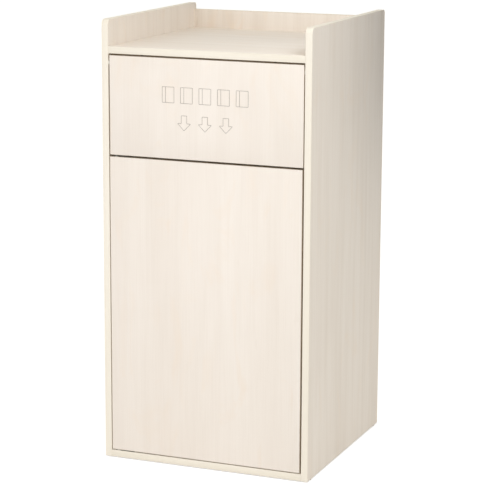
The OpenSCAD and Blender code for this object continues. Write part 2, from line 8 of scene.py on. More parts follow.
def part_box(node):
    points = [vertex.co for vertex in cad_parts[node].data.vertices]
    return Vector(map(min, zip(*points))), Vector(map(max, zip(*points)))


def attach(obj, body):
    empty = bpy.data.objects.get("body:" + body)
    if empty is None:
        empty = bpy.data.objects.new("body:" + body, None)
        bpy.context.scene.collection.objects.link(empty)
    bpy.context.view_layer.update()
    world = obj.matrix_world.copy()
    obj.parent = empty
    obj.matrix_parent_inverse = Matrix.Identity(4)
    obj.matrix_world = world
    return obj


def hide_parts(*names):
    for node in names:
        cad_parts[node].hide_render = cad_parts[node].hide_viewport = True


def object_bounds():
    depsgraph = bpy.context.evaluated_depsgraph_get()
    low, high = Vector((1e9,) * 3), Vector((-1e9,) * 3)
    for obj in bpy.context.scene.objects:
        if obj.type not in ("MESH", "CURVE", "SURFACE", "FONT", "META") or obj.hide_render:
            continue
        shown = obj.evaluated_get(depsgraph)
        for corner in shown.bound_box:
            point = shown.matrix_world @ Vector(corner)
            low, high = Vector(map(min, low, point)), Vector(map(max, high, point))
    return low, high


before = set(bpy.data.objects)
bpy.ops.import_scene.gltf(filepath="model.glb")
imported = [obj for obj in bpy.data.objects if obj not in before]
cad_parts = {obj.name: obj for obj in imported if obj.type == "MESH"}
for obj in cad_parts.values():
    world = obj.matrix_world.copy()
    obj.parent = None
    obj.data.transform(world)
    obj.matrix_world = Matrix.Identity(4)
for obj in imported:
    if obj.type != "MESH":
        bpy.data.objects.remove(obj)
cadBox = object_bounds()
scene = bpy.context.scene
mm = 0.001
boxLow, boxHigh = Vector(cadBox[0]), Vector(cadBox[1])
print("frame loaded:", len(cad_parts), "nodes")


# node helpers

def wire(tree, fromSocket, toSocket):
    tree.links.new(fromSocket, toSocket)


def addNode(tree, kind, **settings):
    node = tree.nodes.new(kind)
    for name, value in settings.items():
        setattr(node, name, value)
    return node


def feed(tree, socket, value):  # value is another socket, a number or a colour
    if isinstance(value, bpy.types.NodeSocket):
        wire(tree, value, socket)
    else:
        socket.default_value = value


def mixColours(tree, factor, first, second):
    node = addNode(tree, "ShaderNodeMix", data_type="RGBA")
    feed(tree, node.inputs[0], factor)
    feed(tree, node.inputs[6], first)
    feed(tree, node.inputs[7], second)
    return node.outputs[2]


def remap(tree, value, fromLow, fromHigh, toLow=0.0, toHigh=1.0):
    node = addNode(tree, "ShaderNodeMapRange", clamp=True)
    for socket, number in zip(node.inputs[:5], (value, fromLow, fromHigh, toLow, toHigh)):
        feed(tree, socket, number)
    return node.outputs[0]


def maths(tree, operation, first, second=0.0):
    node = addNode(tree, "ShaderNodeMath", operation=operation)
    feed(tree, node.inputs[0], first)
    feed(tree, node.inputs[1], second)
    return node.outputs[0]


def stretched(tree, vector, scale):
    node = addNode(tree, "ShaderNodeVectorMath", operation="MULTIPLY")
    wire(tree, vector, node.inputs[0])
    node.inputs[1].default_value = scale
    return node.outputs[0]


def noise(tree, vector, scale, detail=3.0, rough=0.5, distortion=0.0):
    node = addNode(tree, "ShaderNodeTexNoise")
    wire(tree, vector, node.inputs["Vector"])
    settings = {"Scale": scale, "Detail": detail, "Roughness": rough, "Distortion": distortion}
    for label, number in settings.items():
        node.inputs[label].default_value = number
    return node.outputs["Fac"]


def newGroup(name, inputs, outputs):
    group = bpy.data.node_groups.new(name, "ShaderNodeTree")
    for label, kind, value in inputs:
        socket = group.interface.new_socket(label, in_out="INPUT", socket_type=kind)
        if value is not None:
            socket.default_value = value
    for label, kind in outputs:
        group.interface.new_socket(label, in_out="OUTPUT", socket_type=kind)
    return group, addNode(group, "NodeGroupInput"), addNode(group, "NodeGroupOutput")


# shared effects

# Wood figure that runs along the Z of the vector it is given.
def buildGrainGroup():
    group, given, made = newGroup("woodFigure", [
        ("Vector", "NodeSocketVector", None),
        ("Pale", "NodeSocketColor", (0.9, 0.85, 0.8, 1)),
        ("Middle", "NodeSocketColor", (0.85, 0.8, 0.72, 1)),
        ("Dark", "NodeSocketColor", (0.7, 0.62, 0.5, 1)),
        ("Streaks", "NodeSocketFloat", 0.5),
        ("Fibre", "NodeSocketFloat", 0.5),
        ("Warm", "NodeSocketColor", (0.86, 0.70, 0.55, 1)),
        ("Blush", "NodeSocketFloat", 0.0),
    ], [("Color", "NodeSocketColor"), ("Height", "NodeSocketFloat"), ("Gloss", "NodeSocketFloat")])
    vector = given.outputs["Vector"]
    broad = noise(group, stretched(group, vector, (1, 1, 0.16)), 7.0, 3, 0.55, 0.6)
    bands = noise(group, stretched(group, vector, (1, 1, 0.045)), 34.0, 4, 0.6, 0.35)
    fibre = noise(group, stretched(group, vector, (1, 1, 0.018)), 260.0, 3, 0.65)
    mineral = noise(group, stretched(group, vector, (1, 1, 0.03)), 21.0, 2, 0.5, 0.2)
    flecks = noise(group, stretched(group, vector, (1, 1, 0.25)), 46.0, 2, 0.5)
    spread = remap(group, broad, 0.32, 0.68)
    figure = mixColours(group, spread, given.outputs["Pale"], given.outputs["Middle"])

    def share(pattern, fromLow, fromHigh, amount):
        return maths(group, "MULTIPLY", remap(group, pattern, fromLow, fromHigh), given.outputs[amount])

    # grain bands, fibre, mineral lines and flecks, laid over each other
    fine = share(fibre, 0.42, 0.72, "Fibre")
    for darker in (share(bands, 0.44, 0.74, "Streaks"), fine, share(mineral, 0.66, 0.74, "Streaks"),
                   share(flecks, 0.72, 0.8, "Streaks")):
        figure = mixColours(group, darker, figure, given.outputs["Dark"])
    patch = noise(group, stretched(group, vector, (1, 1, 0.4)), 11.0, 3, 0.6, 1.2)
    blush = share(patch, 0.56, 0.78, "Blush")
    wire(group, mixColours(group, blush, figure, given.outputs["Warm"]), made.inputs["Color"])
    wire(group, maths(group, "SUBTRACT", 1.0, fine), made.inputs["Height"])
    wire(group, remap(group, bands, 0.3, 0.7), made.inputs["Gloss"])
    return group


# Faint smudges and scuffs: Amount says how much; Mask is where they lie, Shine how rough they leave it.
def buildHandlingGroup():
    group, given, made = newGroup("handling", [
        ("Vector", "NodeSocketVector", None),
        ("Amount", "NodeSocketFloat", 0.3),
    ], [("Mask", "NodeSocketFloat"), ("Shine", "NodeSocketFloat")])
    smudge = noise(group, given.outputs["Vector"], 9.0, 5, 0.6, 0.8)
    scratch = noise(group, stretched(group, given.outputs["Vector"], (5, 5, 60)), 4.0, 2, 0.4)
    both = maths(group, "MULTIPLY", remap(group, smudge, 0.45, 0.75),
                 remap(group, scratch, 0.35, 0.65, 0.5, 1.0))
    wire(group, maths(group, "MULTIPLY", both, given.outputs["Amount"]), made.inputs["Mask"])
    wire(group, remap(group, smudge, 0.3, 0.7), made.inputs["Shine"])
    return group


grainGroup = buildGrainGroup()
handlingGroup = buildHandlingGroup()


# materials

# A new material with its plain roughness and the shader sockets given.
def startMaterial(name, roughness, sockets=None):
    material = bpy.data.materials.new(name)
    material.use_nodes = True
    tree = material.node_tree
    shader = next(n for n in tree.nodes if n.type == "BSDF_PRINCIPLED")
    shader.inputs["Roughness"].default_value = roughness
    for label, value in (sockets or {}).items():
        shader.inputs[label].default_value = value
    place = addNode(tree, "ShaderNodeTexCoord").outputs["Object"]
    return material, tree, shader, place


def bump(tree, shader, height, distance):
    node = addNode(tree, "ShaderNodeBump")
    node.inputs["Distance"].default_value = distance
    wire(tree, height, node.inputs["Height"])
    wire(tree, node.outputs["Normal"], shader.inputs["Normal"])


def useGroup(tree, group, **values):
    node = addNode(tree, "ShaderNodeGroup", node_tree=group)
    for label, value in values.items():
        feed(tree, node.inputs[label], value)
    return node


quarterTurn = math.pi / 2
grainTurns = {"up": (0, 0, 0), "across": (0, quarterTurn, 0), "deep": (quarterTurn, 0, 0)}


# Object coordinates turned so that the grain runs the way given.
def grainVector(tree, place, grain, offset=(0, 0, 0)):
    mapping = addNode(tree, "ShaderNodeMapping")
    wire(tree, place, mapping.inputs["Vector"])
    mapping.inputs["Location"].default_value = offset
    mapping.inputs["Rotation"].default_value = grainTurns[grain]
    return mapping.outputs["Vector"]


# Two colours mixed by where a pattern lies between low and high.
def mottled(tree, pattern, first, second, low=0.35, high=0.65):
    return mixColours(tree, remap(tree, pattern, low, high), first, second)


# Roughness that moves between two values with a pattern.
def roughen(tree, shader, pattern, span):
    wire(tree, remap(tree, pattern, 0, 1, *span), shader.inputs["Roughness"])


laminate = {
    "pale": (0.890, 0.815, 0.730, 1),
    "middle": (0.858, 0.777, 0.688, 1),
    "dark": (0.660, 0.560, 0.455, 1),
    "warm": (0.865, 0.735, 0.600, 1),
    "streaks": 0.13,
    "fibre": 0.10,
    "blush": 0.45,
    "roughness": (0.42, 0.52),
    "pores": 0.00005,
}


# Bleached wood-grain laminate. Each board gets its own place in the pattern.
def laminateMaterial(name, grain, offset, streaks=laminate["streaks"], blush=laminate["blush"]):
    material, tree, shader, place = startMaterial(name, 0.47, {"Specular IOR Level": 0.45})
    vector = grainVector(tree, place, grain, offset)
    figure = useGroup(tree, grainGroup, Vector=vector, Pale=laminate["pale"], Middle=laminate["middle"],
                      Dark=laminate["dark"], Streaks=streaks, Fibre=laminate["fibre"],
                      Warm=laminate["warm"], Blush=blush)
    touched = useGroup(tree, handlingGroup, Vector=vector, Amount=0.05)
    worn = mixColours(tree, touched.outputs["Mask"], figure.outputs["Color"], laminate["dark"])
    wire(tree, worn, shader.inputs["Base Color"])
    roughen(tree, shader, figure.outputs["Gloss"], laminate["roughness"])
    bump(tree, shader, figure.outputs["Height"], laminate["pores"])
    return material


banding = {
    "pale": (0.885, 0.822, 0.705, 1),
    "middle": (0.865, 0.796, 0.672, 1),
    "dark": (0.70, 0.60, 0.46, 1),
    # painted shade: the colour that the band's edges take inside the gaps
    "paintedGapShade": (0.56, 0.45, 0.31, 1),
    "streaks": 0.10,
    "fibre": 0.12,
    "roughness": (0.36, 0.46),
    "pores": 0.00003,
    "fade": 1.5 * mm,
    "face": 0.8 * mm,        # how far back from the front the colour of the face reaches
}


# Cream edge banding. Behind gapFrom, a place along Y, the edge turns a darker brown, painted shade for the
# gaps round the fronts, except near the left and lower ends whose places paleEnds gives.
def bandingMaterial(name, grain, offset, gapFrom=None, paleEnds=None):
    material, tree, shader, place = startMaterial(name, 0.4, {"Specular IOR Level": 0.5})
    figure = useGroup(tree, grainGroup, Vector=grainVector(tree, place, grain, offset),
                      Pale=banding["pale"], Middle=banding["middle"], Dark=banding["dark"],
                      Streaks=banding["streaks"], Fibre=banding["fibre"])
    tone = figure.outputs["Color"]
    if gapFrom is not None:
        parts = addNode(tree, "ShaderNodeSeparateXYZ")
        wire(tree, place, parts.inputs[0])
        gapShadeMask = remap(tree, parts.outputs["Y"], gapFrom, gapFrom + banding["fade"])
        for axis, end in (paleEnds or {}).items():
            beyond = remap(tree, parts.outputs[axis], end + mm, end + 2 * mm)
            gapShadeMask = maths(tree, "MULTIPLY", gapShadeMask, beyond)
        # painted shade: the edges behind gapFrom darken to stand in for the shade inside the gaps
        tone = mixColours(tree, gapShadeMask, tone, banding["paintedGapShade"])
    wire(tree, tone, shader.inputs["Base Color"])
    roughen(tree, shader, figure.outputs["Gloss"], banding["roughness"])
    bump(tree, shader, figure.outputs["Height"], banding["pores"])
    return material


# The cut faces of the engraving, where the board shows through the laminate.
def routedMaterial():
    material, tree, shader, place = startMaterial("routedBoard", 0.85)
    chips = noise(tree, place, 900.0, 3, 0.7)
    tone = mottled(tree, chips, (0.50, 0.45, 0.39, 1), (0.34, 0.30, 0.26, 1))
    wire(tree, tone, shader.inputs["Base Color"])
    bump(tree, shader, chips, 0.0001)
    return material


beech = {
    "pale": (0.62, 0.43, 0.26, 1),
    "middle": (0.53, 0.35, 0.20, 1),
    "dark": (0.30, 0.17, 0.08, 1),
    "figure": 0.35,
    "roughness": (0.52, 0.68),
    "pores": 0.0002,
}


def beechMaterial(name, grain):
    material, tree, shader, place = startMaterial(name, 0.6)
    figure = useGroup(tree, grainGroup, Vector=grainVector(tree, place, grain), Pale=beech["pale"],
                      Middle=beech["middle"], Dark=beech["dark"], Streaks=beech["figure"],
                      Fibre=beech["figure"])
    wire(tree, figure.outputs["Color"], shader.inputs["Base Color"])
    roughen(tree, shader, figure.outputs["Gloss"], beech["roughness"])
    bump(tree, shader, figure.outputs["Height"], beech["pores"])
    return material


# Zinc plate is bright and faintly spangled, a little yellow in places. Blackened steel is dull, with the
# bare metal just showing where it is rubbed. The last colour is the rubbed one.
metals = {
    "zincPlate": {"metallic": 1.0, "plain": 0.34, "size": 240.0, "detail": 4, "rubbed": 0.5,
                  "roughness": (0.26, 0.48),
                  "colours": ((0.62, 0.63, 0.65, 1), (0.50, 0.50, 0.49, 1), (0.42, 0.37, 0.27, 1))},
    # blackened steel, whose black also serves as painted shade for the door's pivot parts in its gaps
    "blackSteelGapShade": {"metallic": 0.6, "plain": 0.5, "size": 300.0, "detail": 3, "rubbed": 0.35,
                   "roughness": (0.42, 0.62),
                   "colours": ((0.035, 0.034, 0.034, 1), (0.06, 0.057, 0.054, 1), (0.20, 0.19, 0.18, 1))},
}


def metalMaterial(name):
    metal = metals[name]
    bright, dull, rubbed = metal["colours"]
    material, tree, shader, place = startMaterial(name, metal["plain"], {"Metallic": metal["metallic"]})
    skin = noise(tree, place, metal["size"], metal["detail"], 0.6)
    touched = useGroup(tree, handlingGroup, Vector=place, Amount=metal["rubbed"])
    worn = mixColours(tree, touched.outputs["Mask"], mottled(tree, skin, bright, dull), rubbed)
    wire(tree, worn, shader.inputs["Base Color"])
    roughen(tree, shader, touched.outputs["Shine"], metal["roughness"])
    bump(tree, shader, skin, 0.00004)
    return material


# Moulded plastic, rubber and ferrite have a fine leathery skin with scuffs on it. The colours are those of
# the skin, of its duller patches and of a scuff.
moulded = {
    "nylon": {"roughness": (0.38, 0.5), "size": 420.0, "depth": 0.00004, "scuffs": 0.15,
              "colours": ((0.80, 0.78, 0.71, 1), (0.75, 0.73, 0.65, 1), (0.45, 0.42, 0.36, 1))},
    "rubber": {"roughness": (0.7, 0.85), "size": 500.0, "depth": 0.00006, "scuffs": 0.2,
               "colours": ((0.022, 0.022, 0.022, 1), (0.03, 0.03, 0.03, 1), (0.10, 0.10, 0.095, 1))},
    "ferrite": {"roughness": (0.45, 0.6), "size": 600.0, "depth": 0.00003, "scuffs": 0.2,
                "colours": ((0.05, 0.05, 0.055, 1), (0.07, 0.07, 0.07, 1), (0.16, 0.15, 0.14, 1))},
    "binPlastic": {"roughness": (0.42, 0.58), "size": 330.0, "depth": 0.0001, "scuffs": 0.16,
                   "colours": ((0.085, 0.090, 0.098, 1), (0.100, 0.105, 0.112, 1), (0.22, 0.22, 0.22, 1))},
    "glidePlastic": {"roughness": (0.4, 0.55), "size": 400.0, "depth": 0.00005, "scuffs": 0.3,
                     "colours": ((0.26, 0.19, 0.13, 1), (0.30, 0.22, 0.15, 1), (0.45, 0.40, 0.34, 1))},
}


def mouldedMaterial(name):
    look = moulded[name]
    clean, dull, scuffed = look["colours"]
    material, tree, shader, place = startMaterial(name, look["roughness"][0])
    skin = noise(tree, place, look["size"], 2, 0.5)
    tone = mottled(tree, noise(tree, place, 6.0, 3, 0.5), clean, dull)
    touched = useGroup(tree, handlingGroup, Vector=place, Amount=look["scuffs"])
    wire(tree, mixColours(tree, touched.outputs["Mask"], tone, scuffed), shader.inputs["Base Color"])
    roughen(tree, shader, touched.outputs["Shine"], look["roughness"])
    bump(tree, shader, skin, look["depth"])
    return material


frontFace = laminateMaterial("laminateFlap", "up", (3.1, 0.4, 1.7), streaks=0.10)
doorFace = laminateMaterial("laminateDoor", "up", (7.7, 2.2, 0.3), streaks=0.10)
leftFace = laminateMaterial("laminateLeft", "up", (1.3, 5.9, 4.4), streaks=0.24, blush=0.6)
rightFace = laminateMaterial("laminateRight", "up", (9.2, 8.3, 6.1), streaks=0.24)
backFace = laminateMaterial("laminateBack", "up", (4.6, 1.8, 9.4), streaks=0.30, blush=0.8)
trayFace = laminateMaterial("laminateTray", "across", (2.8, 6.6, 3.3))
innerFace = laminateMaterial("laminateInner", "across", (6.4, 3.7, 8.2))
bandUp = bandingMaterial("bandingUp", "up", (0.6, 4.1, 2.9))
bandAcross = bandingMaterial("bandingAcross", "across", (5.3, 0.9, 7.1))
gapStart = boxLow.y + banding["face"]
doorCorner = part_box("door_edge_band")[0]
# The flap and door bands carry painted gap shade behind gapStart; the door's left and lower ends stay pale.
bandFlap = bandingMaterial("bandingFlap", "up", (2.4, 7.3, 1.2), gapStart)
bandDoor = bandingMaterial("bandingDoor", "up", (2.4, 7.3, 1.2), gapStart,
                           {"X": doorCorner.x, "Z": doorCorner.z})
routed = routedMaterial()
beechAcross = beechMaterial("beechAcross", "across")
beechDeep = beechMaterial("beechDeep", "deep")
zinc = metalMaterial("zincPlate")
blackSteelGapShade = metalMaterial("blackSteelGapShade")
nylon, rubber, ferrite, binPlastic, glidePlastic = map(mouldedMaterial, moulded)
print("materials made:", len(bpy.data.materials))


# piece helpers

smoothAngle = 30.0  # edges that turn by more than this stay sharp


def shadeSmooth(mesh, angle=smoothAngle):
    for face in mesh.polygons:
        face.use_smooth = True
    mesh.set_sharp_from_angle(angle=math.radians(angle))


def meshObject(name, bm):
    mesh = bpy.data.meshes.new(name)
    bm.to_mesh(mesh)
    bm.free()
    made = bpy.data.objects.new(name, mesh)
    scene.collection.objects.link(made)
    return made


# Turns a bmesh into a piece that rides on a body and stands for its CAD nodes.
def finishPiece(name, bm, material, body, nodes, angle=smoothAngle):
    bmesh.ops.remove_doubles(bm, verts=bm.verts, dist=1e-6)
    bmesh.ops.recalc_face_normals(bm, faces=bm.faces)
    piece = meshObject(name, bm)
    shadeSmooth(piece.data, angle)
    piece.data.materials.append(material)
    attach(piece, body)
    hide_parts(*nodes)
    return piece


# Rounds the edges given.
def soften(bm, edges, width, steps=3):
    bmesh.ops.bevel(bm, geom=edges, offset=width, offset_type="OFFSET", segments=steps, profile=0.5,
                    affect="EDGES", material=-1, clamp_overlap=True)


def addBlock(bm, low, high, softness=0.0):
    low, high = Vector(low), Vector(high)
    place = Matrix.Translation((low + high) / 2) @ Matrix.Diagonal((*(high - low), 1))
    corners = bmesh.ops.create_cube(bm, size=1, matrix=place)["verts"]
    if softness:
        soften(bm, list({edge for vert in corners for edge in vert.link_edges}), softness, 2)


def blockPiece(name, low, high, softness, material, body, nodes, slotName):
    bm = bmesh.new()
    addBlock(bm, low, high, softness)
    return finishPiece(name, bm, material, body, nodes)


# One flat face whose corners are rounded by the radii given for them.
def outlineFace(bm, corners, radii, steps=8):
    verts = [bm.verts.new(corner) for corner in corners]
    bm.faces.new(verts)
    for vert, radius in zip(verts, radii):
        if radius:
            bmesh.ops.bevel(bm, geom=[vert], offset=radius, offset_type="OFFSET", segments=steps,
                            profile=0.5, affect="VERTICES", material=-1, clamp_overlap=False)
    return bm.faces[:]


def thicken(bm, along):
    made = bmesh.ops.extrude_face_region(bm, geom=bm.faces[:])["geom"]
    bmesh.ops.translate(bm, verts=[g for g in made if isinstance(g, bmesh.types.BMVert)], vec=along)
    bmesh.ops.recalc_face_normals(bm, faces=bm.faces)


# The long edges of a band where its flat sides meet its outward wall.
def outerRims(bm, across, centre):
    found = []
    for edge in bm.edges:
        walls = [f for f in edge.link_faces if abs(f.normal.dot(across)) < 0.5]
        sides = [f for f in edge.link_faces if abs(f.normal.dot(across)) > 0.5]
        if walls and sides and walls[0].normal.dot(walls[0].calc_center_median() - centre) > 0:
            found.append(edge)
    return found


# Edge banding round an outline, one band thick; cutLevel leaves it open below that height.
def bandPiece(name, corners, radii, along, band, cutLevel, material, body, nodes):
    bm = bmesh.new()
    face = outlineFace(bm, corners, radii)
    ring = bmesh.ops.inset_region(bm, faces=face, thickness=band["thickness"], depth=0, use_boundary=True,
                                  use_even_offset=True)["faces"]
    bmesh.ops.delete(bm, geom=[f for f in bm.faces if f not in set(ring)], context="FACES")
    if cutLevel is not None:
        bmesh.ops.bisect_plane(bm, geom=bm.verts[:] + bm.edges[:] + bm.faces[:], plane_co=(0, 0, cutLevel),
                               plane_no=(0, 0, -1), clear_outer=True)
    thicken(bm, along)
    centre = sum((Vector(c) for c in corners), Vector()) / len(corners) + Vector(along) / 2
    soften(bm, outerRims(bm, Vector(along).normalized(), centre), band["edgeRadius"])
    return finishPiece(name, bm, material, body, nodes)


# Makes a piece's boolean permanent and takes away the object it was made with.
def settle(piece, tool):
    bpy.context.view_layer.update()
    graph = bpy.context.evaluated_depsgraph_get()
    shape = bpy.data.meshes.new_from_object(piece.evaluated_get(graph), preserve_all_data_layers=True,
                                            depsgraph=graph)
    piece.modifiers.clear()
    piece.data = shape
    shadeSmooth(shape)
    bpy.data.objects.remove(tool)


# Cuts one mesh out of another; crossing says that the cutter runs through itself.
def carve(piece, cutter, crossing=False):
    cut = piece.modifiers.new("cut", "BOOLEAN")
    cut.use_self = crossing
    cut.operation, cut.solver, cut.object = "DIFFERENCE", "EXACT", cutter
    cut.material_mode = "TRANSFER" if cutter.data.materials else "INDEX"
    settle(piece, cutter)


# carcass

band = {"thickness": 1.0 * mm, "edgeRadius": 0.85 * mm, "seam": 0.12 * mm, "softness": 0.4 * mm}
carcass = {"frontRadius": 16.0 * mm, "rearRadius": 10.0 * mm, "bandSink": 20 * mm}


# A side panel and its band. The band's outline starts below the panel and is cut off level with its foot.
def sidePanel(side, material):
    low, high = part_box(f"{side}_edge_band")
    sink = Vector((0, 0, carcass["bandSink"]))
    corners = [Vector((low.x, low.y, low.z)) - sink, Vector((low.x, high.y, low.z)) - sink,
               Vector((low.x, high.y, high.z)), Vector((low.x, low.y, high.z))]
    along = Vector((high.x - low.x, 0, 0))
    bandPiece(f"{side}Band", corners, [0, 0, carcass["rearRadius"], carcass["frontRadius"]], along, band,
              low.z, bandUp, "cabinet", [f"{side}_edge_band"])
    coreLow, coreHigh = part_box(f"{side}_side_panel")
    t = band["thickness"]
    bm = bmesh.new()
    outlineFace(bm, [(coreLow.x, coreLow.y, coreLow.z), (coreLow.x, coreHigh.y, coreLow.z),
                     (coreLow.x, coreHigh.y, coreHigh.z), (coreLow.x, coreLow.y, coreHigh.z)],
                [0, 0, carcass["rearRadius"] - t, carcass["frontRadius"] - t])
    thicken(bm, along)
    rims = [e for e in bm.edges if abs((e.verts[0].co - e.verts[1].co).normalized().x) < 0.5]
    soften(bm, rims, band["seam"], 1)
    finishPiece(f"{side}Panel", bm, material, "cabinet", [f"{side}_side_panel"])


sidePanel("left", leftFace)
sidePanel("right", rightFace)

boards = {}
for name, node, material, slotName, softness in (
        ("backPanel", "back_panel", backFace, "laminate", band["seam"]),
        ("trayBoard", "tray_board", trayFace, "laminate", band["seam"]),
        ("bottomBoard", "bottom_board", innerFace, "laminate", band["seam"]),
        ("catchRail", "catch_rail", innerFace, "laminate", band["softness"]),
        ("backBand", "back_edge_band", bandAcross, "edge_band", band["softness"]),
        ("trayBand", "tray_edge_band", bandAcross, "edge_band", band["softness"]),
        ("bottomBand", "bottom_edge_band", bandAcross, "edge_band", band["softness"])):
    boards[name] = blockPiece(name, *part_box(node), softness, material, "cabinet", [node], slotName)
print("carcass made")


# flap and door

engraving = {
    "lineWidth": 1.3 * mm,
    "sunk": 0.2 * mm,        # how far the cutter's centre lies behind the face
    "cornerRadius": 0.9 * mm,
    "cornerSteps": 6,
    "bookSize": (34 * mm, 42 * mm),
    "bookPitch": 53 * mm,
    "bookCount": 5,
    "spine": 0.28,           # share of a book's width
    "arrowSize": (38 * mm, 40 * mm),
    "arrowPitch": 60 * mm,
    "arrowCount": 3,
    "stem": 0.21,            # half the stem, as a share of an arrow's width
    "neck": 0.48,            # where the head ends, as a share of its height
    "rowPitch": 74 * mm,
}


def bookLines(w, h):
    spine = engraving["spine"] * w
    return [([(0, 0), (w, 0), (w, h), (0, h)], True), ([(spine, 0), (spine, h)], False)]


def arrowLines(w, h):
    mid, stem, neck = w / 2, engraving["stem"] * w, engraving["neck"] * h
    return [([(mid, 0), (w, neck), (mid + stem, neck), (mid + stem, h), (mid - stem, h), (mid - stem, neck),
              (0, neck)], True)]


# The same path with each corner turned into a short arc, the way a round cutter goes round it.
def roundedPath(points, closed):
    if not closed:
        return points
    r, path = engraving["cornerRadius"], []
    for i, point in enumerate(points):
        here = Vector(point)
        back = (Vector(points[i - 1]) - here).normalized()
        ahead = (Vector(points[(i + 1) % len(points)]) - here).normalized()
        reach = r / math.tan(back.angle(ahead) / 2)
        start, end = here + back * reach, here + ahead * reach
        for step in range(engraving["cornerSteps"] + 1):
            t = step / engraving["cornerSteps"]
            path.append(start * (1 - t) ** 2 + here * 2 * t * (1 - t) + end * t ** 2)
    return path


# Round-nosed cutters that follow a row of book outlines above a row of arrow outlines.
def engravingCutter(centre, frontY):
    lines = bpy.data.curves.new("engravingLines", "CURVE")
    lines.dimensions = "3D"
    lines.bevel_depth = engraving["lineWidth"] / 2
    lines.bevel_resolution = 2
    lines.use_fill_caps = True
    rows = ((bookLines, engraving["bookSize"], engraving["bookPitch"], engraving["bookCount"], 0.5),
            (arrowLines, engraving["arrowSize"], engraving["arrowPitch"], engraving["arrowCount"], -0.5))
    for shape, (w, h), pitch, count, lift in rows:
        for i in range(count):
            left = centre.x + (i - (count - 1) / 2) * pitch - w / 2
            foot = centre.z + lift * engraving["rowPitch"] - h / 2
            for points, closed in shape(w, h):
                points = roundedPath(points, closed)
                spline = lines.splines.new("POLY")
                spline.points.add(len(points) - 1)
                for point, (u, v) in zip(spline.points, points):
                    point.co = (left + u, frontY + engraving["sunk"], foot + v, 1)
                spline.use_cyclic_u = closed
    curve = bpy.data.objects.new("engravingLines", lines)
    scene.collection.objects.link(curve)
    bpy.context.view_layer.update()
    bm = bmesh.new()
    bm.from_mesh(bpy.data.meshes.new_from_object(curve.evaluated_get(bpy.context.evaluated_depsgraph_get())))
    bpy.data.objects.remove(curve)
    bmesh.ops.remove_doubles(bm, verts=bm.verts, dist=1e-7)
    bmesh.ops.recalc_face_normals(bm, faces=bm.faces)
    cutter = meshObject("engravingCutter", bm)
    cutter.data.materials.append(routed)
    return cutter


# A flush front board and the banding round it.
def frontBoard(body, material, bandMaterial, node, bandNode):
    low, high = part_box(bandNode)
    corners = [Vector((x, low.y, z)) for x, z in ((low.x, low.z), (high.x, low.z), (high.x, high.z),
                                                  (low.x, high.z))]
    along = Vector((0, high.y - low.y, 0))
    bandPiece(f"{body}Band", corners, [0] * 4, along, band, None, bandMaterial, body, [bandNode])
    return blockPiece(f"{body}Board", *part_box(node), band["seam"], material, body, [node], "laminate")


flapBoard = frontBoard("flap", frontFace, bandFlap, "flap", "flap_edge_band")
flapLow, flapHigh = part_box("flap")
carve(flapBoard, engravingCutter((flapLow + flapHigh) / 2, flapLow.y), crossing=True)
frontBoard("door", doorFace, bandDoor, "door", "door_edge_band")
print("fronts made; flap faces:", len(flapBoard.data.polygons), "size:", flapBoard.dimensions)


# bin

binShape = {
    "rimWidth": 12 * mm,
    "rimHeight": 18 * mm,
    "taper": 24 * mm,
    "wall": 3 * mm,
    "cornerRadius": 40 * mm,
    "steps": 64,
    "shoulderDrop": 74 * mm,
    "shoulderStep": 1.6 * mm,
    "smoothAngle": 40.0,
}


